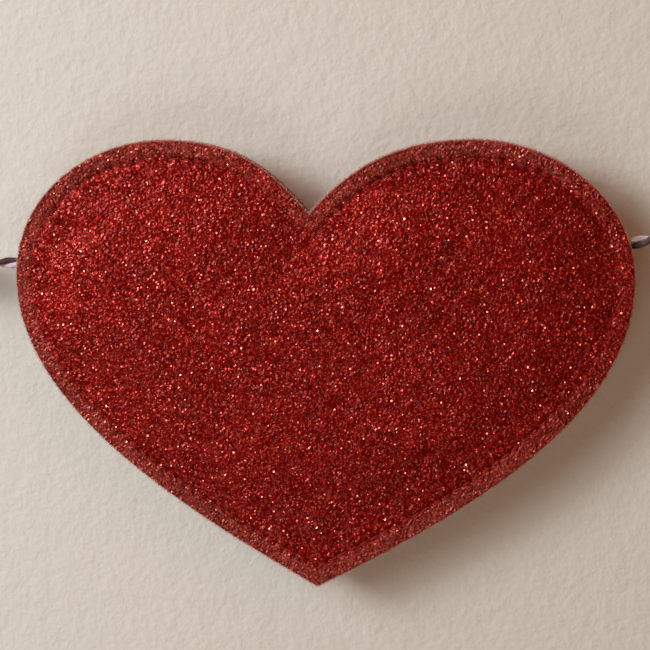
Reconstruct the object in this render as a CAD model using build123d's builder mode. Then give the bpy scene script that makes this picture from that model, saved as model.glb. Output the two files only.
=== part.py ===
from build123d import *
import math
import os

# A padded heart pennant on a length of twine, one heart of a garland.
# Millimetres. The twine runs along X through the origin, +Z is up, and the front faces -Y.
# The heart hangs from the twine, which passes through a tunnel between its two faces.

# Heart outline, in the heart's own plane: x across, y up, from the point where the twine crosses it.
# Three curves down each side join at the top of the lobe, where the outline runs level, and at the
# side, where it runs upright. A reach is how far a curve keeps to its end's direction.
NOTCH = (-1.3, 7.7)
NOTCH_ANGLE = 48.7  # how steeply each lobe rises out of the notch, in degrees
NOTCH_REACH = 12.9
LOBE_TOP = (29.9, 21.7)
LOBE_REACH_IN = 13.5
LOBE_REACH_OUT = 14.6
FLANK = (60.2, -5.1)
FLANK_REACH_UP = 16.4
FLANK_REACH_DOWN = 24.5
TIP = (0.4, -65.4)
TIP_ANGLE = 28.2  # how steeply each side rises from the tip
TIP_REACH = 35.4
HANG_TILT = 2.3  # the heart sits this much clockwise of square to its twine, in degrees

# Layers, measured from the middle of the heart towards either face.
WADDING_EDGE = 0.9  # half the wadding's thickness where the seam squeezes it
WADDING_CROWN = 2.5  # half its thickness in the middle
FELT = 1.0
COAT = 0.3
CROWN_FOOT = 4.3  # how far in from the edge the padding starts to rise
CROWN_TOP = 9.5  # how far in it is at full height
OVERCUT = 2.0  # how far a cutting shape passes the edge that it trims

# Seam, a ring of thread lying on each face.
SEAM_INSET = 3.6
THREAD_WIDTH = 0.5
THREAD_HEIGHT = 0.35

# Twine.
TWINE_D = 2.2
TUNNEL_CLEARANCE = 0.15
EXIT_X = 58.5  # where the twine comes out of the heart, each side
LEAD = 14.0
KNOT_LENGTH = 6.5
KNOT_D = 6.4
KNOT_NECK_D = 3.2  # where the lead enters it
KNOT_SHOULDER_D = 5.0  # where the two legs of the loop leave it
LEG_OFFSET = 1.3  # half the distance between those legs
# The upper half of the loop's route, from the knot's outer face: distance out, height.
LOOP_HALF = [(0, LEG_OFFSET), (6.5, LEG_OFFSET), (15.9, 7.4), (22.1, 7.4), (26.4, 3.1)]
BEND_SHARE = 0.45  # the share of the shorter run that each bend takes up

tilt = math.radians(HANG_TILT)
heart_plane = Plane(origin=(0, 0, 0), x_dir=(math.cos(tilt), 0, -math.sin(tilt)), z_dir=(0, -1, 0))
felt_edge = WADDING_EDGE + FELT
felt_crown = WADDING_CROWN + FELT
FRONT = 1
BACK = -1


def climb(angle, side, reach):
    """How far a line of this length goes across and up, climbing at this angle towards one side."""
    slope = math.radians(angle)
    return Vector(side * reach * math.cos(slope), reach * math.sin(slope))


def side_controls(side):
    """The control points of one side's three curves, from the notch to the tip."""
    notch = Vector(*NOTCH)
    top = Vector(side * LOBE_TOP[0], LOBE_TOP[1])
    flank = Vector(side * FLANK[0], FLANK[1])
    tip = Vector(*TIP)
    return [
        notch,
        notch + climb(NOTCH_ANGLE, side, NOTCH_REACH),
        top - Vector(side * LOBE_REACH_IN, 0),
        top,
        top + Vector(side * LOBE_REACH_OUT, 0),
        flank + Vector(0, FLANK_REACH_UP),
        flank,
        flank - Vector(0, FLANK_REACH_DOWN),
        tip + climb(TIP_ANGLE, side, TIP_REACH),
        tip,
    ]


def heart_face(inset=0.0, mode=Mode.ADD):
    """Adds the heart's face to the current sketch, moved inwards by inset all round."""
    right = side_controls(1)
    left = side_controls(-1)
    loop = right[:-1] + left[:0:-1]  # clockwise from the notch, each point once
    moved = []
    for i, here in enumerate(loop):
        after = loop[(i + 1) % len(loop)]
        arriving = (here - loop[i - 1]).normalized().rotate(Axis.Z, -90)
        leaving = (after - here).normalized().rotate(Axis.Z, -90)
        moved.append(here + (arriving + leaving) * (inset / (1 + arriving.dot(leaving))))
    with BuildLine() as outline:
        for i in range(0, len(moved), 3):
            Bezier(moved[i], moved[i + 1], moved[i + 2], moved[(i + 3) % len(moved)])
    make_face(outline.edges(), mode=mode)


def pillow_half(facing, edge, crown, growth=0.0, mode=Mode.ADD):
    """Adds one half of a padded heart to the current part: a flat margin and a raised middle."""
    with BuildSketch(heart_plane) as slab:
        heart_face(-growth)
    extrude(slab.sketch, amount=facing * edge, dir=heart_plane.z_dir, mode=mode)
    with BuildSketch(heart_plane.offset(facing * edge)) as foot:
        heart_face(CROWN_FOOT)
    with BuildSketch(heart_plane.offset(facing * crown)) as top:
        heart_face(CROWN_TOP)
    loft([foot.sketch.face(), top.sketch.face()], mode=mode)


def cut_tunnel():
    """Cuts the tunnel for the twine through the current part."""
    with BuildSketch(Plane.YZ) as bore:
        Circle(TWINE_D / 2 + TUNNEL_CLEARANCE)
    extrude(bore.sketch, amount=EXIT_X + LEAD, both=True, mode=Mode.SUBTRACT)


def seam_ring(facing, level):
    """Adds a ring of thread lying on one face to the current part."""
    with BuildSketch(heart_plane.offset(facing * level)) as ring:
        heart_face(SEAM_INSET - THREAD_WIDTH / 2)
        heart_face(SEAM_INSET + THREAD_WIDTH / 2, mode=Mode.SUBTRACT)
    extrude(ring.sketch, amount=facing * THREAD_HEIGHT, dir=heart_plane.z_dir)


def bend_radii(points):
    """The radius of the bend at each inner point of a route."""
    radii = []
    for before, here, after in zip(points, points[1:], points[2:]):
        arrive = Vector(*here) - Vector(*before)
        leave = Vector(*after) - Vector(*here)
        half_turn = math.radians(arrive.get_angle(leave)) / 2
        shorter = min(arrive.length, leave.length)
        radii.append(BEND_SHARE * shorter / math.tan(half_turn))
    return radii


os.makedirs("parts", exist_ok=True)

# The heart, from the middle outwards.
with BuildPart() as wadding:
    for facing in (FRONT, BACK):
        pillow_half(facing, WADDING_EDGE, WADDING_CROWN)
    cut_tunnel()

with BuildPart() as front_felt:
    pillow_half(FRONT, felt_edge, felt_crown)
    pillow_half(FRONT, WADDING_EDGE, WADDING_CROWN, OVERCUT, Mode.SUBTRACT)
    cut_tunnel()

with BuildPart() as back_felt:
    pillow_half(BACK, felt_edge, felt_crown)
    pillow_half(BACK, WADDING_EDGE, WADDING_CROWN, OVERCUT, Mode.SUBTRACT)
    cut_tunnel()

with BuildPart() as glitter_coat:
    pillow_half(FRONT, felt_edge + COAT, felt_crown + COAT)
    pillow_half(FRONT, felt_edge, felt_crown, OVERCUT, Mode.SUBTRACT)

with BuildPart() as needle_thread:
    seam_ring(FRONT, felt_edge + COAT)

with BuildPart() as bobbin_thread:
    seam_ring(BACK, felt_edge)

# The twine through the heart.
with BuildPart() as twine_core:
    with BuildSketch(Plane.YZ.offset(-EXIT_X)):
        Circle(TWINE_D / 2)
    extrude(amount=2 * EXIT_X)

pieces = {
    "wadding": wadding,
    "front_felt": front_felt,
    "back_felt": back_felt,
    "glitter_coat": glitter_coat,
    "needle_thread": needle_thread,
    "bobbin_thread": bobbin_thread,
    "twine_core": twine_core,
}

# Each end of the twine: a lead, a knot, and a loop to hang it by.
knot_start = EXIT_X + LEAD
loop_start = knot_start + KNOT_LENGTH
loop_route = LOOP_HALF + [(out, -height) for out, height in reversed(LOOP_HALF)]
for name, side in (("left", -1), ("right", 1)):
    with BuildPart() as lead:
        with BuildSketch(Plane.YZ.offset(side * EXIT_X)):
            Circle(TWINE_D / 2)
        extrude(amount=side * LEAD)

    with BuildPart() as knot:
        with BuildSketch(Plane.XZ):
            with BuildLine():
                Polyline(
                    (side * loop_start, KNOT_SHOULDER_D / 2),
                    (side * loop_start, 0),
                    (side * knot_start, 0),
                    (side * knot_start, KNOT_NECK_D / 2),
                )
                ThreePointArc(
                    (side * knot_start, KNOT_NECK_D / 2),
                    (side * (knot_start + loop_start) / 2, KNOT_D / 2),
                    (side * loop_start, KNOT_SHOULDER_D / 2),
                )
            make_face()
        revolve(axis=Axis.X)

    route = [(side * (loop_start + out), 0, height) for out, height in loop_route]
    radii = bend_radii(route)
    print(name, "loop bend radii:", [round(r, 1) for r in radii])
    with BuildPart() as loop:
        with BuildLine() as path:
            FilletPolyline(*route, radius=radii)
        with BuildSketch(Plane(origin=route[0], z_dir=(side, 0, 0))):
            Circle(TWINE_D / 2)
        sweep(path=path.wires()[0])
    centreline = path.wires()[0]
    tube_volume = math.pi * TWINE_D**2 / 4 * centreline.length
    print(name, "loop volume against section times length:", round(loop.part.volume / tube_volume, 4))

    pieces[name + "_lead"] = lead
    pieces[name + "_knot"] = knot
    pieces[name + "_loop"] = loop

for name, piece in pieces.items():
    piece.part.label = name
    export_step(piece.part, f"parts/{name}.step")
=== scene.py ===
import math

import bpy
import numpy as np
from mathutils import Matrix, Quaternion, Vector
from mathutils.bvhtree import BVHTree
from mathutils.geometry import delaunay_2d_cdt
from mathutils.kdtree import KDTree


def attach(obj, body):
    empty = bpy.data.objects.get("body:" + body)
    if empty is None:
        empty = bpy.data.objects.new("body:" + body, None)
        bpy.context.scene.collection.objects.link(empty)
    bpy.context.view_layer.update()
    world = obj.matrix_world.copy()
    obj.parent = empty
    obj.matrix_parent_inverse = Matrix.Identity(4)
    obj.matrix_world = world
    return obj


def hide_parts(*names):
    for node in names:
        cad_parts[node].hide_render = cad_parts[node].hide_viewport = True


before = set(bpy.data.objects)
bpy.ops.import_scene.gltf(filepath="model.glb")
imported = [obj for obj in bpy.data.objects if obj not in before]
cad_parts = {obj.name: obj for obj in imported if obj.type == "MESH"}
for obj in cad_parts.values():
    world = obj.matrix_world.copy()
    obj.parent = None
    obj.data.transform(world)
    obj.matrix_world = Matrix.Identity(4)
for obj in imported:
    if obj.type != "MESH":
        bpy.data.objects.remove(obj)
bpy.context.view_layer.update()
scene = bpy.context.scene
rng = np.random.default_rng(7)
MM = 0.001

# ---------------------------------------------------------------- camera

TARGET = Vector((0.00103, 0.0, -0.01394))
AZIMUTH, ELEVATION, ROLL = math.radians(8.87), math.radians(5.56), math.radians(-2.20)
DISTANCE = 0.2714
back = Vector((math.sin(AZIMUTH) * math.cos(ELEVATION), -math.cos(AZIMUTH) * math.cos(ELEVATION),
               math.sin(ELEVATION)))
lens = bpy.data.cameras.new("camera")
lens.lens = 77.5
lens.sensor_width = 36.0
lens.clip_start = 0.01
lens.clip_end = 20.0
camera = bpy.data.objects.new("camera", lens)
scene.collection.objects.link(camera)
camera.location = TARGET + back * DISTANCE
camera.rotation_mode = "QUATERNION"
camera.rotation_quaternion = (-back).to_track_quat("-Z", "Y") @ Quaternion((0, 0, 1), ROLL)
scene.camera = camera

# ---------------------------------------------------------------- mesh helpers


def add_object(name, verts, faces, materials, face_slots=None, smooth=True):
    """Makes a mesh object from vertices in millimetres."""
    mesh = bpy.data.meshes.new(name)
    mesh.from_pydata((np.asarray(verts, float) * MM).tolist(), [], [list(map(int, f)) for f in faces])
    for material in materials:
        mesh.materials.append(material)
    if face_slots is not None:
        mesh.polygons.foreach_set("material_index", np.asarray(face_slots, np.int32))
    mesh.polygons.foreach_set("use_smooth", np.full(len(mesh.polygons), smooth))
    mesh.update()
    thing = bpy.data.objects.new(name, mesh)
    scene.collection.objects.link(thing)
    return thing


class Pile:
    """Collects small closed solids into one mesh."""

    def __init__(self):
        self.verts, self.faces, self.slots, self.count = [], [], [], 0

    def add(self, verts, faces, slot=0):
        self.verts.append(np.asarray(verts, float))
        self.faces.extend([[i + self.count for i in f] for f in faces])
        self.slots.extend([slot] * len(faces))
        self.count += len(verts)

    def add_hairs(self, roots, directions, lengths, radius, curl, slots):
        """Adds one hair at each root, each with its own material slot."""
        verts, faces = hairs(roots, directions, lengths, radius, curl)
        self.verts.append(verts)
        self.faces.extend([[i + self.count for i in f] for f in faces])
        self.slots.extend(np.tile(slots, len(faces) // len(roots)).tolist())
        self.count += len(verts)

    def build(self, name, materials):
        return add_object(name, np.concatenate(self.verts), self.faces, materials, self.slots)


def frames_along(line):
    """Tangent and two normals at each point of a line, turning as little as they can."""
    tangent = np.gradient(line, axis=0)
    tangent /= np.linalg.norm(tangent, axis=1)[:, None]
    normal = np.zeros_like(line)
    start = np.array((0.0, 1.0, 0.0)) if abs(tangent[0][1]) < 0.9 else np.array((1.0, 0.0, 0.0))
    for i, t in enumerate(tangent):
        start = start - t * (start @ t)
        start = start / np.linalg.norm(start)
        normal[i] = start
    return tangent, normal, np.cross(tangent, normal)


def tube(line, radius, sides, lobes=0, lobe_depth=0.0, lobe_turn=0.0):
    """A closed tube round a line, with twisted ridges if it has lobes."""
    line = np.asarray(line, float)
    radius = np.broadcast_to(radius, len(line))
    _, normal, other = frames_along(line)
    travelled = np.concatenate(([0], np.cumsum(np.linalg.norm(np.diff(line, axis=0), axis=1))))
    around = np.linspace(0, 2 * math.pi, sides, endpoint=False)
    verts = []
    for i, centre in enumerate(line):
        swell = 1 + lobe_depth * np.cos(lobes * around + lobe_turn * travelled[i])
        ring = centre + (radius[i] * swell * np.cos(around))[:, None] * normal[i] \
            + (radius[i] * swell * np.sin(around))[:, None] * other[i]
        verts.append(ring)
    faces = []
    for i in range(len(line) - 1):
        for k in range(sides):
            n = (k + 1) % sides
            faces.append((i * sides + k, i * sides + n, (i + 1) * sides + n, (i + 1) * sides + k))
    last = (len(line) - 1) * sides
    faces.append(tuple(range(sides - 1, -1, -1)))
    faces.append(tuple(range(last, last + sides)))
    return np.concatenate(verts), faces


def along(line, spacing):
    """The same line with evenly spaced points."""
    line = np.asarray(line, float)
    travelled = np.concatenate(([0], np.cumsum(np.linalg.norm(np.diff(line, axis=0), axis=1))))
    count = max(2, int(round(travelled[-1] / spacing)) + 1)
    wanted = np.linspace(0, travelled[-1], count)
    return np.stack([np.interp(wanted, travelled, line[:, k]) for k in range(line.shape[1])], 1)


def hairs(roots, directions, lengths, radius, curl):
    """Fine tapered hairs, each a closed three-sided spike that bends as it goes."""
    count = len(roots)
    d = directions / np.linalg.norm(directions, axis=1)[:, None]
    side = np.cross(d, rng.normal(size=(count, 3)))
    side /= np.linalg.norm(side, axis=1)[:, None]
    third = np.cross(d, side)
    bend = rng.normal(size=(count, 1)) * curl
    points = []
    for share, thick in ((0.0, 1.0), (0.6, 0.75)):
        middle = roots + d * (lengths * share)[:, None] + side * bend * (lengths * share ** 2)[:, None]
        for k in range(3):
            a = 2 * math.pi * k / 3
            points.append(middle + (side * math.cos(a) + third * math.sin(a)) * radius * thick)
    points.append(roots + d * lengths[:, None] + side * bend * lengths[:, None])
    one = [(2, 1, 0)]
    for k in range(3):
        n = (k + 1) % 3
        one.append((k, n, 3 + n, 3 + k))
        one.append((3 + k, 3 + n, 6))
    faces = []
    for f in one:
        faces += (np.array(f)[None, :] + (np.arange(count) * 7)[:, None]).tolist()
    return np.stack(points, 1).reshape(-1, 3), faces


# ---------------------------------------------------------------- material helpers


class Shader:
    """A node material with a Principled shader and short calls for the nodes that feed it."""

    def __init__(self, name, **constants):
        self.material = bpy.data.materials.new(name)
        self.material.use_nodes = True
        self.tree = self.material.node_tree
        self.nodes = self.tree.nodes
        self.main = self.nodes["Principled BSDF"]
        self.coords = None
        for socket, value in constants.items():
            self.main.inputs[socket.replace("_", " ")].default_value = value

    def link(self, out, into):
        self.tree.links.new(out, into)

    def node(self, kind, inputs=None, **settings):
        made = self.nodes.new("ShaderNode" + kind)
        for key, value in settings.items():
            setattr(made, key, value)
        for key, value in (inputs or {}).items():
            if isinstance(value, bpy.types.NodeSocket):
                self.link(value, made.inputs[key])
            else:
                made.inputs[key].default_value = value
        return made

    def place(self, stretch=(1, 1, 1)):
        if self.coords is None:
            self.coords = self.node("TexCoord")
        if tuple(stretch) == (1, 1, 1):
            return self.coords.outputs["Object"]
        return self.node("Mapping", {"Vector": self.coords.outputs["Object"], "Scale": stretch}).outputs[0]

    def noise(self, scale, detail=3.0, rough=0.55, stretch=(1, 1, 1), distortion=0.0):
        return self.node("TexNoise", {"Vector": self.place(stretch), "Scale": scale, "Detail": detail,
                                      "Roughness": rough, "Distortion": distortion}).outputs["Fac"]

    def cells(self, scale):
        return self.node("TexVoronoi", {"Vector": self.place(), "Scale": scale}).outputs["Color"]

    def ramp(self, value, stops):
        made = self.node("ValToRGB", {"Fac": value})
        band = made.color_ramp
        while len(band.elements) < len(stops):
            band.elements.new(0.5)
        for element, (where, colour) in zip(band.elements, stops):
            element.position = where
            element.color = (*colour, 1)
        return made.outputs["Color"]

    def math(self, operation, a, b=0.0):
        return self.node("Math", {0: a, 1: b}, operation=operation).outputs[0]

    def stretch_range(self, value, low, high, to_low, to_high):
        return self.node("MapRange", {"Value": value, "From Min": low, "From Max": high,
                                      "To Min": to_low, "To Max": to_high}).outputs["Result"]

    def mix(self, share, a, b, blend="MIX"):
        made = self.node("Mix", data_type="RGBA", blend_type=blend)
        for index, value in ((0, share), (6, a), (7, b)):
            if isinstance(value, bpy.types.NodeSocket):
                self.link(value, made.inputs[index])
            elif index:
                made.inputs[index].default_value = (*value, 1)
            else:
                made.inputs[index].default_value = value
        return made.outputs[2]

    def attribute(self, name):
        return self.node("Attribute", attribute_name=name).outputs["Fac"]

    def bump(self, height, strength, distance):
        made = self.node("Bump", {"Height": height, "Strength": strength, "Distance": distance})
        return made.outputs["Normal"]

    def set(self, **sockets):
        for name, value in sockets.items():
            self.link(value, self.main.inputs[name.replace("_", " ")])
        return self.material


def glitter_material(name, metal, shades, coat, dull):
    """Aluminised flakes in clear binder, from the darkest shade to the brightest."""
    made = Shader(name, Metallic=metal, Coat_Weight=coat, Coat_Roughness=0.15, Specular_IOR_Level=0.12)
    tone = made.attribute("tone")
    patch = made.noise(90, 2.0)
    grain = made.cells(2600)
    grain_value = made.node("SeparateColor", {"Color": grain}).outputs[0]
    red = made.ramp(tone, list(zip((0.0, 0.45, 0.8, 1.0), shades)))
    mottle = made.math("ADD", made.math("MULTIPLY", patch, 0.6), made.math("MULTIPLY", grain_value, 0.4))
    shade = made.stretch_range(mottle, 0.25, 0.75, 0.72, 1.2)
    shade_colour = made.node("CombineColor", {0: shade, 1: shade, 2: shade}).outputs[0]
    rough = made.stretch_range(made.attribute("polish"), 0.0, 1.0, dull, dull + 0.25)
    return made.set(Base_Color=made.mix(1.0, red, shade_colour, "MULTIPLY"), Roughness=rough)


def felt_material(name, dark, light, sheen):
    made = Shader(name, Sheen_Weight=sheen, Sheen_Roughness=0.4, Sheen_Tint=(1.0, 0.62, 0.58, 1))
    long_fibres = made.noise(1500, 4.0, 0.6, (1.0, 1.0, 0.28), 1.2)
    cross_fibres = made.noise(1300, 4.0, 0.6, (0.3, 1.0, 1.0), 1.2)
    cloud = made.noise(55, 3.0)
    fine = made.mix(0.5, made.ramp(long_fibres, [(0.3, (0, 0, 0)), (0.7, (1, 1, 1))]),
                    made.ramp(cross_fibres, [(0.3, (0, 0, 0)), (0.7, (1, 1, 1))]))
    value = made.node("SeparateColor", {"Color": fine}).outputs[0]
    mottle = made.math("ADD", made.math("MULTIPLY", value, 0.75), made.math("MULTIPLY", cloud, 0.5))
    colour = made.mix(made.stretch_range(mottle, 0.2, 1.0, 0.0, 1.0), dark, light)
    rough = made.stretch_range(value, 0.0, 1.0, 0.95, 0.78)
    return made.set(Base_Color=colour, Roughness=rough, Normal=made.bump(value, 0.55, 0.0003))


def wadding_material():
    made = Shader("wadding_fibre", Sheen_Weight=0.2, Sheen_Roughness=0.5)
    strands = made.noise(1100, 5.0, 0.65, (1.0, 2.6, 1.0), 2.0)
    cloud = made.noise(160, 2.0)
    mottle = made.math("ADD", strands, made.math("MULTIPLY", cloud, 0.4))
    # The wadding is painted dark red, not a pale wadding colour: painted shade, so that its strip in the
    # cut edge stays dark.
    colour = made.mix(made.stretch_range(mottle, 0.4, 1.0, 0.0, 1.0),
                      (0.10, 0.018, 0.017), (0.36, 0.085, 0.08))
    return made.set(Base_Color=colour, Roughness=made.stretch_range(cloud, 0, 1, 0.8, 1.0),
                    Normal=made.bump(strands, 0.8, 0.0005))


def thread_material(name, dark, light):
    made = Shader(name, Specular_IOR_Level=0.15)
    fine = made.noise(3500, 3.0, 0.6, (1, 1, 1), 0.5)
    cloud = made.noise(300, 2.0)
    mottle = made.math("ADD", fine, made.math("MULTIPLY", cloud, 0.5))
    colour = made.mix(made.stretch_range(mottle, 0.4, 1.1, 0.0, 1.0), dark, light)
    return made.set(Base_Color=colour, Roughness=made.stretch_range(fine, 0.2, 0.8, 0.6, 0.85),
                    Normal=made.bump(fine, 0.4, 0.0001))


def ply_material(name, dark, light, sheen):
    made = Shader(name, Sheen_Weight=sheen, Sheen_Roughness=0.45)
    strands = made.noise(900, 5.0, 0.65, (0.35, 1.6, 1.6), 0.8)
    flecks = made.noise(380, 3.0, 0.6)
    mottle = made.math("ADD", made.math("MULTIPLY", strands, 0.8), made.math("MULTIPLY", flecks, 0.4))
    colour = made.mix(made.stretch_range(mottle, 0.38, 0.82, 0.0, 1.0), dark, light)
    return made.set(Base_Color=colour, Roughness=made.stretch_range(strands, 0.2, 0.8, 0.95, 0.7),
                    Normal=made.bump(strands, 0.7, 0.0003))


GLITTER = glitter_material("red_glitter", 0.85, [(0.125, 0.0003, 0.0001), (0.20, 0.0012, 0.0005),
                                                 (0.31, 0.011, 0.006), (0.49, 0.065, 0.045)], 0.16, 0.4)
MARGIN = glitter_material("margin_glitter", 0.7, [(0.155, 0.017, 0.012), (0.245, 0.028, 0.020),
                                                  (0.35, 0.046, 0.034), (0.50, 0.10, 0.075)], 0.2, 0.42)
FLAKE = glitter_material("proud_flakes", 0.85, [(0.22, 0.002, 0.001), (0.38, 0.010, 0.005),
                                                (0.58, 0.06, 0.035), (0.78, 0.22, 0.15)], 0.5, 0.18)
# The rim's fuzz is painted far paler than the red felt it grows from: a painted highlight for light on the
# cut edge.
FUZZ_PAINTED_LIGHT = felt_material("rim_fuzz_painted_light", (0.60, 0.24, 0.20), (0.98, 0.60, 0.54), 0.6)
FRONT_FELT = felt_material("red_felt", (0.36, 0.06, 0.052), (0.66, 0.175, 0.155), 0.4)
BACK_FELT = felt_material("backing_felt", (0.13, 0.008, 0.007), (0.33, 0.028, 0.022), 0.4)
WADDING = wadding_material()
THREAD = thread_material("red_thread", (0.15, 0.006, 0.004), (0.38, 0.030, 0.022))
DARK_PLY = ply_material("dark_ply", (0.018, 0.010, 0.009), (0.11, 0.058, 0.05), 0.25)
PALE_PLY = ply_material("pale_ply", (0.36, 0.30, 0.36), (0.86, 0.80, 0.86), 0.35)

# ---------------------------------------------------------------- twine

# The line the twine takes out of each side of the heart, through its knot and round its loop, as
# distance along X and height: the control points of one smooth line.
# The right lead climbs as it leaves the heart.
LEAD = {-1: [(58.5, 0.0), (72.5, 0.0)], 1: [(58.5, 0.0), (60.8, 0.0), (65.5, 1.7), (72.5, 1.7)]}
ROUTE = [(79.0, 1.3), (85.5, 1.3), (94.9, 7.4), (101.1, 7.4), (105.4, 3.1),
         (105.4, -3.1), (101.1, -7.4), (94.9, -7.4), (85.5, -1.3), (78.6, -1.3)]
PITCH = 11.0
PLY_OFFSET = 0.56
PLY_RADIUS = 0.55
LINE_STEP = 0.3
PHASE = {-1: math.radians(25), 1: math.radians(332)}  # where the twist starts at each side
KNOT_TURNS = 2.35
KNOT_START = 74.1
KNOT_LENGTH = 3.4
KNOT_RADIUS = 2.08
KNOT_HEIGHT = 0.4  # how far above the axis the middle of its turns is
KNOT_PHASE = 0.6
FRAYED_HAIRS = 46


def smooth_line(points, name):
    """Points along the NURBS spline that these points control."""
    curve = bpy.data.curves.new(name, "CURVE")
    curve.dimensions = "3D"
    curve.resolution_u = 16
    spline = curve.splines.new("NURBS")
    spline.points.add(len(points) - 1)
    for point, where in zip(spline.points, points):
        point.co = (*where, 1)
    spline.order_u = 3
    spline.use_endpoint_u = True
    thing = bpy.data.objects.new(name, curve)
    mesh = bpy.data.meshes.new_from_object(thing)
    line = np.array([v.co for v in mesh.vertices])
    bpy.data.objects.remove(thing)
    bpy.data.meshes.remove(mesh)
    bpy.data.curves.remove(curve)
    return line


def add_plies(pile, line, phase, taper_end=False):
    """The two plies of a twine along a line in millimetres, twisted round each other."""
    line = along(line, LINE_STEP)
    _, normal, other = frames_along(line)
    travelled = np.arange(len(line)) * LINE_STEP
    for ply in (0, 1):
        turn = phase + math.pi * ply - 2 * math.pi * travelled / PITCH
        centre = line + PLY_OFFSET * (np.cos(turn)[:, None] * normal + np.sin(turn)[:, None] * other)
        uneven = 1 + 0.05 * np.sin(travelled * 1.9 + ply * 2.1) + 0.04 * np.sin(travelled * 0.83 + ply)
        radius = PLY_RADIUS * uneven
        if taper_end:
            radius = radius * np.clip((travelled[-1] - travelled) / 0.8, 0.35, 1)
        verts, faces = tube(centre, radius, sides=14, lobes=5, lobe_depth=0.09, lobe_turn=3.3)
        pile.add(verts, faces, ply)


def add_stray(pile, line, count, reach):
    """Loose fibres standing off a twine."""
    line = along(line, LINE_STEP)
    tangent, normal, other = frames_along(line)
    at = rng.integers(2, len(line) - 2, count)
    angle = rng.random(count) * 2 * math.pi
    out = normal[at] * np.cos(angle)[:, None] + other[at] * np.sin(angle)[:, None]
    lean = tangent[at] * rng.normal(size=(count, 1)) * 1.6
    lengths = reach * (0.4 + rng.random(count))
    pile.add_hairs(line[at] + out * 0.8, out + lean, lengths, radius=0.022, curl=0.7,
                   slots=rng.integers(0, 2, count))


def knot_coil(side):
    """The line of the twine's turns round the knot, ending in a short tail, and the tail's heading."""
    turns = np.linspace(0, 2 * math.pi * KNOT_TURNS, 110)
    coil = np.stack([side * (KNOT_START + KNOT_LENGTH * turns / turns[-1]),
                     KNOT_RADIUS * np.cos(turns + KNOT_PHASE),
                     KNOT_RADIUS * np.sin(turns + KNOT_PHASE) + KNOT_HEIGHT], 1)
    heading = coil[-1] - coil[-2]
    heading /= np.linalg.norm(heading)
    reach = np.linspace(0.5, 4.6, 8)[:, None]
    tail = coil[-1] + heading * reach + np.array((side * 1.1, -0.3, -0.25)) * reach ** 1.3 * 0.35
    return np.concatenate([[(side * 73.4, 0.2, 0.9)], coil, tail]), heading


for name, side in (("left", -1), ("right", 1)):
    points = [(side * x * MM, 0.0, z * MM) for x, z in LEAD[side] + ROUTE]
    line = smooth_line(points, name + "_route")
    pile = Pile()
    add_plies(pile, line / MM, PHASE[side])
    add_stray(pile, line / MM, count=150, reach=0.9)
    twine = pile.build(name + "_twine", [DARK_PLY, PALE_PLY])

    wraps = Pile()
    coil, heading = knot_coil(side)
    add_plies(wraps, coil, phase=0.4, taper_end=True)
    add_stray(wraps, coil, count=110, reach=0.8)
    spread = heading + np.array((side * 0.9, -0.3, -0.3)) + rng.normal(size=(FRAYED_HAIRS, 3)) * 0.45
    roots = coil[-3] + rng.normal(size=(FRAYED_HAIRS, 3)) * 0.35
    lengths = 1.4 + rng.random(FRAYED_HAIRS) * 1.5
    wraps.add_hairs(roots, spread, lengths, radius=0.035, curl=0.5, slots=rng.integers(0, 2, FRAYED_HAIRS))
    knot = wraps.build(name + "_overhand_knot", [DARK_PLY, PALE_PLY])

    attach(twine, "twine")
    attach(knot, "twine")
    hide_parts(name + "_lead", name + "_loop")
    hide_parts(name + "_knot")

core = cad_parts["twine_core"]
core.data.materials.clear()
core.data.materials.append(DARK_PLY)

# ---------------------------------------------------------------- heart outline

# The same control points as the CAD outline, in the heart's own plane, in millimetres.
NOTCH, NOTCH_ANGLE, NOTCH_REACH = (-1.3, 7.7), 48.7, 12.9
LOBE_TOP, LOBE_REACH_IN, LOBE_REACH_OUT = (29.9, 21.7), 13.5, 14.6
FLANK, FLANK_REACH_UP, FLANK_REACH_DOWN = (60.2, -5.1), 16.4, 24.5
TIP, TIP_ANGLE, TIP_REACH = (0.4, -65.4), 28.2, 35.4
TILT = math.radians(2.3)
SEAM_INSET = 3.6
STITCH = 2.35


def climb(angle, side, reach):
    slope = math.radians(angle)
    return np.array((side * reach * math.cos(slope), reach * math.sin(slope)))


def side_controls(side):
    """The control points of one side's three curves, from the notch to the tip."""
    notch, tip = np.array(NOTCH), np.array(TIP)
    top = np.array((side * LOBE_TOP[0], LOBE_TOP[1]))
    flank = np.array((side * FLANK[0], FLANK[1]))
    return [notch, notch + climb(NOTCH_ANGLE, side, NOTCH_REACH), top - (side * LOBE_REACH_IN, 0), top,
            top + (side * LOBE_REACH_OUT, 0), flank + (0, FLANK_REACH_UP), flank,
            flank - (0, FLANK_REACH_DOWN), tip + climb(TIP_ANGLE, side, TIP_REACH), tip]


def heart_halves(inset, spacing):
    """The outline moved inwards, as two open lines: down the right from the notch, then up the left."""
    loop = side_controls(1)[:-1] + side_controls(-1)[:0:-1]
    moved = []
    for i, here in enumerate(loop):
        arrive = here - loop[i - 1]
        leave = loop[(i + 1) % len(loop)] - here
        arrive = np.array((arrive[1], -arrive[0])) / np.linalg.norm(arrive)
        leave = np.array((leave[1], -leave[0])) / np.linalg.norm(leave)
        moved.append(here + (arrive + leave) * (inset / (1 + arrive @ leave)))
    t = np.linspace(0, 1, 200)[:, None]
    curves = []
    for i in range(0, len(moved), 3):
        a, b, c, d = moved[i], moved[i + 1], moved[i + 2], moved[(i + 3) % len(moved)]
        curves.append(a * (1 - t) ** 3 + 3 * b * t * (1 - t) ** 2 + 3 * c * t ** 2 * (1 - t) + d * t ** 3)
    halves = [np.concatenate(curves[:3]), np.concatenate(curves[3:])]
    return [along(half, spacing) for half in halves]


def ring(inset, spacing):
    """The outline moved inwards, as one closed loop of points."""
    right, left = heart_halves(inset, spacing)
    return np.concatenate([right[:-1], left[:-1]])


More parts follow.
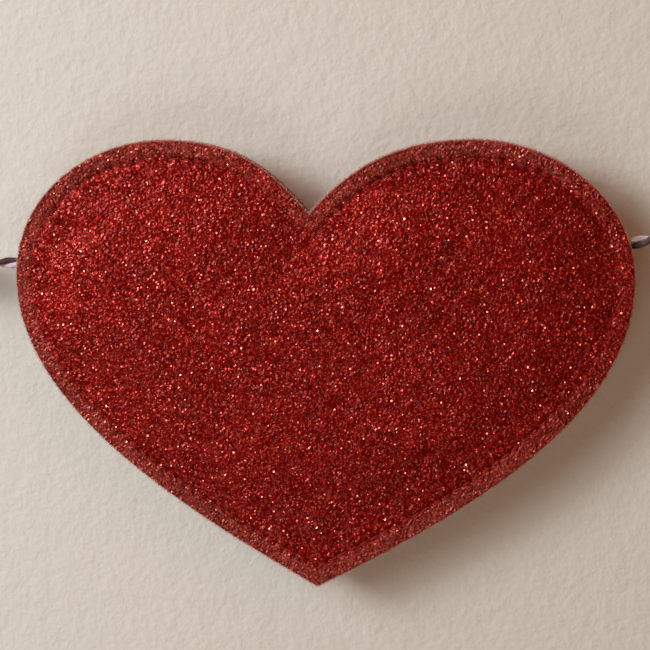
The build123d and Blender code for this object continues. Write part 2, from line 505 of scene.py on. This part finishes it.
def lift(flat, y):
    """Points of the heart's plane, at a depth, in the part's own frame."""
    flat = np.asarray(flat, float)
    u, v = flat[:, 0], flat[:, 1]
    return np.stack([u * math.cos(TILT) + v * math.sin(TILT), np.broadcast_to(y, len(u)),
                     -u * math.sin(TILT) + v * math.cos(TILT)], 1)


edge_line = ring(0, 0.15)
edge_tree = KDTree(len(edge_line))
for i, p in enumerate(edge_line):
    edge_tree.insert((p[0], p[1], 0), i)
edge_tree.balance()


def edge_distance(flat):
    """How far each point is from the outline."""
    return np.array([edge_tree.find((u, v, 0))[2] for u, v in flat])


def inside(flat):
    """True for the points within the outline."""
    outline = ring(0, 0.8)
    after = np.roll(outline, -1, 0)
    result = np.zeros(len(flat), bool)
    for (x0, y0), (x1, y1) in zip(outline, after):
        crosses = (y0 > flat[:, 1]) != (y1 > flat[:, 1])
        if y0 != y1:
            result ^= crosses & (flat[:, 0] < x0 + (flat[:, 1] - y0) * (x1 - x0) / (y1 - y0))
    return result


def scatter(spacing, inset, jitter):
    """Points spread over the heart, no closer to its edge than the inset."""
    across = np.arange(-64, 64, spacing)
    up = np.arange(-68, 26, spacing * math.sqrt(3) / 2)
    grid = np.array([(x + (spacing / 2 if k % 2 else 0), y) for k, y in enumerate(up) for x in across])
    grid = grid + rng.uniform(-jitter, jitter, grid.shape) * spacing
    grid = grid[inside(grid)]
    return grid[edge_distance(grid) > inset]


def triangulate(outline, inner):
    """Triangles over the outline's inside, through all the points. The outline's points come first."""
    points = np.concatenate([outline, inner])
    count = len(outline)
    edges = [(i, (i + 1) % count) for i in range(count)]
    made = delaunay_2d_cdt([Vector(p) for p in points], edges, [], 1, 1e-6)
    origin = [o[0] if o else -1 for o in made[3]]
    return points, [tuple(origin[i] for i in f) for f in made[2]]


# ---------------------------------------------------------------- the padded shape

FELT = 1.0
COAT = 0.3
FELT_EDGE = 1.9  # from the middle to the felt's outer face, where the seam squeezes it
GROOVE = 0.1
CROWN = 1.35  # the most the padding rises above the edge
EASE_START = 0.1  # the share of the rise that is left right inside the seam
LOBE_START = 0.4  # how much more of it is left there on the lobes
EASE_RUN = 13.0  # how far in from the seam the rise is whole
FLANK_X = 60.0
FLANK_FADE = 15.0
NOTCH_FADE = 9.0
SIM_SCALE = 20.0  # how much larger than life the pad is while it is simulated
SIM_FRAMES = 20

seam_halves = heart_halves(SEAM_INSET, STITCH)
seam_holes = np.concatenate([seam_halves[0][:-1], seam_halves[1][:-1]])
pad_edge = ring(0, 1.25)
hole_tree = KDTree(len(seam_holes))
for i, p in enumerate(seam_holes):
    hole_tree.insert((p[0], p[1], 0), i)
hole_tree.balance()


def simulate_pad():
    """Swells a closed pad between its pinned edge and stitch holes. Returns its points and faces."""
    rings = [seam_holes, ring(SEAM_INSET, STITCH / 2)[1::2], ring(1.8, 1.3), ring(5.0, 1.4), ring(6.5, 1.5)]
    inner = np.concatenate(rings + [scatter(1.7, 7.6, 0.12)])
    flat, faces = triangulate(pad_edge, inner)
    count = len(flat)
    rim = len(pad_edge)
    verts = np.concatenate([lift(flat, -FELT_EDGE), lift(flat, FELT_EDGE)])
    holes = list(range(rim, rim + len(seam_holes)))
    for h in holes:
        verts[h][1] = -FELT_EDGE + GROOVE
        verts[h + count][1] = FELT_EDGE - GROOVE
    behind = [tuple(i + count for i in reversed(f)) for f in faces]
    side_faces = [(i, (i + 1) % rim, (i + 1) % rim + count, i + count) for i in range(rim)]
    mesh = bpy.data.meshes.new("puff")
    mesh.from_pydata((verts * MM * SIM_SCALE).tolist(), [], faces + behind + side_faces)
    mesh.update()
    puff = bpy.data.objects.new("puff", mesh)
    scene.collection.objects.link(puff)
    pins = puff.vertex_groups.new(name="pins")
    edge = list(range(rim))
    pins.add(edge + [i + count for i in edge] + holes + [h + count for h in holes], 1.0, "REPLACE")
    cloth = puff.modifiers.new("swell", "CLOTH")
    cloth.settings.quality = 5
    cloth.settings.mass = 0.4
    cloth.settings.tension_stiffness = 12
    cloth.settings.compression_stiffness = 12
    cloth.settings.shear_stiffness = 6
    cloth.settings.bending_stiffness = 1.5
    cloth.settings.vertex_group_mass = "pins"
    cloth.settings.use_pressure = True
    cloth.settings.uniform_pressure_force = 4.0
    cloth.settings.shrink_min = -0.015
    cloth.settings.effector_weights.gravity = 0
    cloth.point_cache.frame_start = 1
    cloth.point_cache.frame_end = SIM_FRAMES
    for number in range(1, SIM_FRAMES + 1):
        scene.frame_set(number)
    seen = puff.evaluated_get(bpy.context.evaluated_depsgraph_get())
    swollen = np.array([v.co for v in seen.data.vertices]) / (MM * SIM_SCALE)
    scene.frame_set(1)
    bpy.data.objects.remove(puff)
    bpy.data.meshes.remove(mesh)
    rise_front = -FELT_EDGE - swollen[:count, 1]
    rise_back = swollen[count:, 1] - FELT_EDGE
    return flat, faces, rise_front, rise_back


def seam_shows(flat, left=0.7, right=0.7):
    """How clearly the seam shows, up to 1: glitter hides it on both flanks and left of the notch."""
    u, v = flat[:, 0], flat[:, 1]
    beside_notch = 0.6 * np.exp(-((u + NOTCH_FADE) / NOTCH_FADE) ** 2) * np.clip(v / 6, 0, 1)
    left_flank = left * np.exp(-((u + FLANK_X) / FLANK_FADE) ** 2)
    right_flank = right * np.exp(-((u - FLANK_X) / FLANK_FADE) ** 2)
    return 1 - left_flank - right_flank - beside_notch


def eased(rise, flat, distance):
    """A rise that levels off at the crown's height and starts gently at the seam, less so on the lobes."""
    share = np.clip((distance - SEAM_INSET) / EASE_RUN, 0, 1)
    start = EASE_START + LOBE_START * np.clip((flat[:, 1] + 5) / 20, 0, 1) * seam_shows(flat)
    level = np.where(rise > 0, CROWN * np.tanh(rise / CROWN), rise)
    return level * (start + (1 - start) * share * share * (3 - 2 * share))


pad_flat, pad_faces, rise_front, rise_back = simulate_pad()
pad_distance = edge_distance(pad_flat)


def ripple(flat, seed):
    """A slow unevenness of the cloth, a fraction of a millimetre."""
    u, v = flat[:, 0], flat[:, 1]
    return (0.10 * np.sin(u * 0.11 + v * 0.07 + seed) + 0.08 * np.sin(u * 0.05 - v * 0.16 + 2.0 * seed)
            + 0.05 * np.sin(u * 0.33 + v * 0.21 + 3.0 * seed))


def margin_lean(flat, distance):
    """How far the cut edge stands forward of the seam line, more at the top than at the tip."""
    share = np.clip((SEAM_INSET - distance) / SEAM_INSET, 0, 1)
    return share * (0.06 + 0.5 * np.clip((flat[:, 1] - 4) / 14, -0.1, 1))


lean = margin_lean(pad_flat, pad_distance)
inner_share = np.clip((pad_distance - SEAM_INSET) / 4, 0, 1)
front_rise = eased(rise_front, pad_flat, pad_distance) + ripple(pad_flat, 1.0) * inner_share
back_rise = eased(rise_back, pad_flat, pad_distance) + ripple(pad_flat, 2.5) * inner_share
front_y = -FELT_EDGE - front_rise - lean
back_y = FELT_EDGE + back_rise - lean
front_points = lift(pad_flat, front_y)
front_bvh = BVHTree.FromPolygons([tuple(p) for p in front_points], pad_faces)
back_points = lift(pad_flat, back_y)
back_bvh = BVHTree.FromPolygons([tuple(p) for p in back_points], pad_faces)


def depth(flat, bvh):
    """The padded face's y at each point."""
    result = np.zeros(len(flat))
    for i, p in enumerate(lift(flat, 0.0)):
        hit = bvh.ray_cast(Vector((p[0], -20, p[2])), Vector((0, 1, 0)))[0]
        if hit is None:
            hit = bvh.find_nearest(Vector((p[0], 0, p[2])))[0]
        result[i] = hit[1]
    return result


def closed_shell(name, flat, rim, faces, outer_y, inner_y, materials, facing):
    """A closed sheet between two faces over the same triangles. Facing is -1 if outer is the front."""
    count = len(flat)
    verts = np.concatenate([lift(flat, outer_y), lift(flat, inner_y)])
    outer = [f if facing < 0 else tuple(reversed(f)) for f in faces]
    inner = [tuple(i + count for i in (reversed(f) if facing < 0 else f)) for f in faces]
    sides = [(i, (i + 1) % rim, (i + 1) % rim + count, i + count) for i in range(rim)]
    if facing > 0:
        sides = [tuple(reversed(f)) for f in sides]
    return add_object(name, verts, outer + inner + sides, materials)


# ---------------------------------------------------------------- felts and wadding

rim_count = len(pad_edge)
stitched_in = 0.45 * np.exp(-((pad_distance - SEAM_INSET) / 1.0) ** 2)
front_felt = closed_shell("front_felt_sheet", pad_flat, rim_count, pad_faces, front_y + stitched_in,
                          front_y + FELT, [FRONT_FELT], -1)
back_felt = closed_shell("back_felt_sheet", pad_flat, rim_count, pad_faces, back_y, back_y - FELT,
                         [BACK_FELT], 1)
pulled_in = pad_flat.copy()
for i in range(rim_count):
    before, after = pad_edge[i - 1], pad_edge[(i + 1) % rim_count]
    run = (after - before) / np.linalg.norm(after - before)
    pull = 0.45 + 0.25 * math.sin(i * 1.7) * math.sin(i * 0.37)
    pulled_in[i] = pad_flat[i] + np.array((run[1], -run[0])) * pull
wad = closed_shell("wadding_layer", pulled_in, rim_count, pad_faces, front_y + FELT, back_y - FELT,
                   [WADDING], -1)
for piece in (front_felt, back_felt, wad):
    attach(piece, "heart")
for piece in (front_felt, back_felt):
    finer = piece.modifiers.new("finer", "SUBSURF")
    finer.levels = finer.render_levels = 1
    finer.boundary_smooth = "PRESERVE_CORNERS"
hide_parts("front_felt")
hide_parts("back_felt")
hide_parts("wadding")

# ---------------------------------------------------------------- glitter coat

GRAIN = 0.37  # how far apart the facets' corners are
GRAIN_DEPTH = 0.106
WRINKLE_DEPTH = 0.075
COAT_INSET = 0.3
UNDER = 0.3  # how far the coat's unseen side lies inside the felt
HOLE_RADIUS = 0.48


def patches(flat, low, high, seed):
    """A cloudy unevenness between -1 and 1 with patches of these sizes, in millimetres."""
    dice = np.random.default_rng(seed)
    total = np.zeros(len(flat))
    for _ in range(9):
        angle, size, start = dice.uniform(0, math.pi), dice.uniform(low, high), dice.uniform(0, 6.3)
        across = flat[:, 0] * math.cos(angle) + flat[:, 1] * math.sin(angle)
        total += np.sin(across * math.pi / size + start)
    return np.clip(total / 4.5, -1, 1)


def seam_relief(flat, distance):
    """How far the seam pulls the coat down near it, and how near each point is to a needle hole."""
    off_seam = distance - SEAM_INSET
    to_hole = np.array([hole_tree.find((u, v, 0))[2] for u, v in flat])
    along_seam = np.sqrt(np.clip(to_hole ** 2 - off_seam ** 2, 0, (STITCH / 2) ** 2))
    between = (1 - np.cos(2 * math.pi * along_seam / STITCH)) / 2
    pucker = 0.11 * between * np.exp(-((np.abs(off_seam) - 0.95) / 0.7) ** 2)
    hole = np.exp(-(to_hole / HOLE_RADIUS) ** 2) * seam_shows(flat)
    return seam_shows(flat) * (0.05 * np.exp(-(off_seam / 0.5) ** 2) - pucker) + 0.18 * hole, hole


coat_rim = ring(COAT_INSET, GRAIN)
coat_flat, coat_faces = triangulate(coat_rim, scatter(GRAIN, COAT_INSET + 0.25, 0.36))
coat_distance = edge_distance(coat_flat)
relief, hole = seam_relief(coat_flat, coat_distance)
wrinkle = WRINKLE_DEPTH * patches(coat_flat, 1.3, 3.6, 5)
grain = rng.uniform(-1, 1, len(coat_flat)) * GRAIN_DEPTH * (1 + 0.5 * patches(coat_flat, 2.5, 7, 3))
coat_y = depth(coat_flat, front_bvh) - COAT + relief + wrinkle + grain
rim_n = len(coat_rim)
clear_of_rim = pad_distance[rim_count:] > COAT_INSET + 0.3
under_flat, under_faces = triangulate(coat_rim, pad_flat[rim_count:][clear_of_rim])
under_y = depth(under_flat, front_bvh) + UNDER
count = len(coat_flat)
verts = np.concatenate([lift(coat_flat, coat_y), lift(under_flat, under_y)])
faces = list(coat_faces)
faces += [tuple(i + count for i in reversed(f)) for f in under_faces]
faces += [(i, (i + 1) % rim_n, (i + 1) % rim_n + count, i + count) for i in range(rim_n)]
first_corner = np.array([f[0] for f in coat_faces])
face_distance = coat_distance[first_corner] + rng.normal(0, 0.35, len(coat_faces))
in_margin = (face_distance < SEAM_INSET - 0.5) & \
    (rng.random(len(coat_faces)) < seam_shows(coat_flat, left=0.15)[first_corner])
slots = np.concatenate([in_margin.astype(int), np.ones(len(faces) - len(coat_faces), int)])
coat = add_object("glitter_face", verts, faces, [GLITTER, MARGIN], slots, smooth=False)


def add_face_values(thing, **values):
    """Gives each face of a mesh its own numbers, for the material to read."""
    for name, value in values.items():
        made = thing.data.attributes.new(name, "FLOAT", "FACE")
        made.data.foreach_set("value", np.asarray(value, np.float32))


tone = rng.random(len(faces)) ** 1.3
# Facets in the needle holes get a darker tone: painted shade in the pits.
tone[:len(coat_faces)] *= 1 - 0.7 * hole[first_corner]
add_face_values(coat, tone=tone, polish=rng.random(len(faces)))
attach(coat, "heart")
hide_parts("glitter_coat")

# Flakes that stand proud of the bed, hexagons lying at all angles.
FLAKE_TILT = 0.33
FLAKE_HALF_THICKNESS = 0.02
flake_at = scatter(0.9, 0.3, 0.5)
thinned_within = rng.uniform(0, 7, len(flake_at)) * (rng.random(len(flake_at)) < 0.8)
flake_at = flake_at[edge_distance(flake_at) > thinned_within]
flake_count = len(flake_at)
flake_y = depth(flake_at, front_bvh) - COAT - rng.uniform(0.02, 0.14, flake_count)
centres = lift(flake_at, flake_y)
tilt_x, tilt_z = rng.normal(0, FLAKE_TILT, flake_count), rng.normal(0, FLAKE_TILT, flake_count)
normals = np.stack([tilt_x, -np.ones(flake_count), tilt_z], 1)
normals /= np.linalg.norm(normals, axis=1)[:, None]
first = np.cross(normals, rng.normal(size=(flake_count, 3)))
first /= np.linalg.norm(first, axis=1)[:, None]
second = np.cross(normals, first)
size = rng.uniform(0.11, 0.21, flake_count)
layers = []
for offset in (FLAKE_HALF_THICKNESS, -FLAKE_HALF_THICKNESS):
    for k in range(6):
        a = math.pi * k / 3
        corner = first * math.cos(a) + second * math.sin(a)
        layers.append(centres + normals * offset + corner * size[:, None])
flake_verts = np.stack(layers, 1).reshape(-1, 3)
flake_faces = []
for start in np.arange(flake_count) * 12:
    flake_faces.append([start + k for k in range(6)])
    flake_faces.append([start + 11 - k for k in range(6)])
    for k in range(6):
        n = (k + 1) % 6
        flake_faces.append([start + k, start + 6 + k, start + 6 + n, start + n])
flakes = add_object("glitter_flakes", flake_verts, flake_faces, [FLAKE], smooth=False)
add_face_values(flakes, tone=np.repeat(0.35 + 0.65 * rng.random(flake_count), 8),
                polish=np.repeat(rng.random(flake_count) * 0.6, 8))
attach(flakes, "heart")

# ---------------------------------------------------------------- stitches

# The thread's radius along one stitch, which tapers into the needle holes.
THREAD_RADII = np.array([0.10, 0.13, 0.145, 0.15, 0.15, 0.15, 0.145, 0.13, 0.10])
THREAD_TWIST = 1.6
STITCH_DIP = 0.65


def seam_stitches(name, bvh, facing, stand):
    """One twisted stitch from each needle hole to the next, dipping into the holes."""
    pile = Pile()
    total = len(seam_holes)
    for i in range(total):
        a, b = seam_holes[i], seam_holes[(i + 1) % total]
        shares = np.linspace(0.04, 0.96, len(THREAD_RADII))
        flat = a + (b - a) * shares[:, None]
        base = depth(flat, bvh)
        arch = np.sin(np.pi * shares) ** 0.5
        y = base + facing * (stand * arch * seam_shows(flat) - STITCH_DIP * (1 - arch))
        centre = lift(flat, y)
        _, normal, other = frames_along(centre)
        turn = np.linspace(0, 2 * math.pi * THREAD_TWIST, len(centre)) + i
        for strand in (0, 1):
            swing = turn + math.pi * strand
            line = centre + 0.1 * (np.cos(swing)[:, None] * normal + np.sin(swing)[:, None] * other)
            verts, faces = tube(line, THREAD_RADII, sides=7)
            pile.add(verts, faces)
    return pile.build(name, [THREAD])


needle = seam_stitches("needle_stitches", front_bvh, facing=-1, stand=0.3)
bobbin = seam_stitches("bobbin_stitches", back_bvh, facing=1, stand=0.2)
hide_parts("needle_thread")
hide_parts("bobbin_thread")
for piece in (needle, bobbin):
    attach(piece, "heart")

# ---------------------------------------------------------------- fuzz

HAIR_CURL = 0.8


def edge_fuzz(name, level_from, level_to, count, reach, material, radius):
    """Hairs standing out of the cut edge between two depths."""
    line = ring(0, 0.3)
    at = rng.integers(0, len(line), count)
    share = rng.random(count)
    run = np.roll(line, -1, 0)[at] - line[at]
    run /= np.linalg.norm(run, axis=1)[:, None]
    out = np.stack([-run[:, 1], run[:, 0]], 1)
    spot = line[at] + run * rng.random(count)[:, None] * 0.3
    front = depth(spot - out * 0.3, front_bvh)
    behind = depth(spot - out * 0.3, back_bvh)
    y = level_from(front, behind) * (1 - share) + level_to(front, behind) * share
    roots = lift(spot - out * 0.15, y)
    ahead = lift(spot + out * 0.85, y) - roots
    direction = ahead + rng.normal(size=(count, 3)) * np.array((0.55, 0.5, 0.55))
    lengths = reach * (0.35 + rng.random(count) ** 1.5)
    pile = Pile()
    pile.add_hairs(roots, direction, lengths, radius, HAIR_CURL, np.zeros(count, int))
    thing = pile.build(name, [material])
    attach(thing, "heart")
    return thing


front_fuzz = edge_fuzz("front_felt_fuzz", lambda f, b: f - 0.1, lambda f, b: f + FELT,
                       count=18000, reach=0.48, material=FUZZ_PAINTED_LIGHT, radius=0.035)
back_fuzz = edge_fuzz("back_felt_fuzz", lambda f, b: b - FELT, lambda f, b: b,
                      count=6000, reach=0.4, material=BACK_FELT, radius=0.026)

nap_at = scatter(1.5, 0.4, 0.5)
nap_count = len(nap_at)
nap_dir = np.stack([rng.normal(size=nap_count), rng.uniform(0.35, 0.85, nap_count),
                    rng.normal(size=nap_count)], 1)
nap_roots = lift(nap_at, depth(nap_at, back_bvh) - 0.05)
nap_lengths = rng.uniform(0.4, 1.3, nap_count)
nap_pile = Pile()
nap_pile.add_hairs(nap_roots, nap_dir, nap_lengths, 0.02, HAIR_CURL, np.zeros(nap_count, int))
nap = nap_pile.build("back_felt_nap", [BACK_FELT])
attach(nap, "heart")

after = np.roll(edge_line, -1, 0)

# ---------------------------------------------------------------- room, light


def wall_material():
    """A painted wall, clear where it is seen from behind."""
    made = Shader("painted_wall", Roughness=0.9, Specular_IOR_Level=0.1)
    cloud = made.noise(7, 3.0, 0.5)
    roller = made.noise(700, 3.0, 0.55)
    pits = made.noise(210, 3.0, 0.5)
    height = made.math("ADD", made.math("MULTIPLY", roller, 0.8), pits)
    colour = made.mix(cloud, (0.61, 0.63, 0.595), (0.66, 0.68, 0.64))
    made.set(Base_Color=colour, Normal=made.bump(height, 0.5, 0.0005))
    shown = made.node("MixShader")
    made.link(made.node("NewGeometry").outputs["Backfacing"], shown.inputs[0])
    made.link(made.main.outputs[0], shown.inputs[1])
    made.link(made.node("BsdfTransparent").outputs[0], shown.inputs[2])
    made.link(shown.outputs[0], made.nodes["Material Output"].inputs["Surface"])
    return made.material


def floor_material():
    made = Shader("pale_floor", Roughness=0.9, Specular_IOR_Level=0.1, Emission_Color=(1.0, 0.96, 0.90, 1),
                  Emission_Strength=0.46)
    made.material.cycles.emission_sampling = "NONE"
    cloud = made.noise(5, 3.0)
    return made.set(Base_Color=made.mix(cloud, (0.17, 0.18, 0.18), (0.20, 0.21, 0.21)))


def backdrop_material():
    made = Shader("pale_backdrop", Base_Color=(0, 0, 0, 1), Specular_IOR_Level=0.0, Emission_Strength=0.52)
    cloud = made.noise(0.4, 2.0)
    made.material.cycles.emission_sampling = "NONE"
    return made.set(Emission_Color=made.mix(cloud, (1.0, 0.95, 0.89), (0.94, 0.89, 0.83)))


def stage_mesh(name, corners, faces, material):
    """A piece of the room. It throws no light or shadow."""
    mesh = bpy.data.meshes.new(name)
    mesh.from_pydata(corners, [], faces)
    mesh.materials.append(material)
    mesh.update()
    thing = bpy.data.objects.new(name, mesh)
    scene.collection.objects.link(thing)
    thing.visible_diffuse = thing.visible_glossy = thing.visible_shadow = False
    return thing


# The wall stays behind the heart's back as the heart swings, so that it never hides it.
WALL_Y, WALL_HALF, WALL_FOOT, WALL_TOP = 0.0088, 0.31, -0.33, 0.25
FLOOR_Z, ROOM_HALF, ROOM_TOP = -0.35, 7.5, 4.0
wall = stage_mesh("wall", [(-WALL_HALF, WALL_Y, WALL_FOOT), (WALL_HALF, WALL_Y, WALL_FOOT),
                           (WALL_HALF, WALL_Y, WALL_TOP), (-WALL_HALF, WALL_Y, WALL_TOP)],
                  [(0, 1, 2, 3)], wall_material())
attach(wall, "heart")
low = [(-ROOM_HALF, -ROOM_HALF, FLOOR_Z), (ROOM_HALF, -ROOM_HALF, FLOOR_Z),
       (ROOM_HALF, ROOM_HALF, FLOOR_Z), (-ROOM_HALF, ROOM_HALF, FLOOR_Z)]
stage_mesh("floor", low, [(0, 1, 2, 3)], floor_material())
high = [(x, y, ROOM_TOP) for x, y, _ in low]
stage_mesh("backdrop", low + high, [(0, 4, 5, 1), (1, 5, 6, 2), (2, 6, 7, 3), (3, 7, 4, 0), (4, 7, 6, 5)],
           backdrop_material())


LIT_POINT = (0, 0, -0.015)


def area_light(name, where, size, power, colour):
    """A soft rectangular light, aimed at the middle of the heart."""
    lamp = bpy.data.lights.new(name, "AREA")
    lamp.shape = "RECTANGLE"
    lamp.size, lamp.size_y = size
    lamp.energy = power
    lamp.color = colour
    thing = bpy.data.objects.new(name, lamp)
    thing.location = where
    thing.rotation_mode = "QUATERNION"
    thing.rotation_quaternion = (Vector(LIT_POINT) - Vector(where)).to_track_quat("-Z", "Y")
    thing.visible_camera = False
    scene.collection.objects.link(thing)


area_light("window", (-0.47, -0.47, 0.26), (0.48, 0.48), 3.5, (0.99, 0.985, 0.98))
area_light("pane", (-0.56, -0.40, 0.25), (0.2, 0.2), 1.9, (1.0, 0.98, 0.96))
area_light("lamp", (-0.56, -0.60, 0.40), (0.06, 0.06), 0.22, (1.0, 0.90, 0.80))
area_light("room_lamp", (0.60, -0.65, 0.35), (0.5, 0.5), 0.7, (1.0, 0.46, 0.16))
area_light("bounce", (-0.15, -0.45, -0.40), (0.3, 0.3), 0.6, (0.95, 1.0, 1.0))
area_light("above", (-0.15, -0.20, 0.65), (0.5, 0.3), 0.55, (1.0, 0.98, 0.96))
area_light("from_behind", (-0.5, 1.1, 0.45), (0.9, 0.9), 9.0, (1.0, 0.97, 0.94))

world = bpy.data.worlds.new("room")
world.use_nodes = True
sky = world.node_tree.nodes["Background"]
sky.inputs["Color"].default_value = (1.0, 0.41, 0.12, 1)
sky.inputs["Strength"].default_value = 0.19
scene.world = world
scene.view_settings.view_transform = "Standard"
scene.view_settings.look = "None"
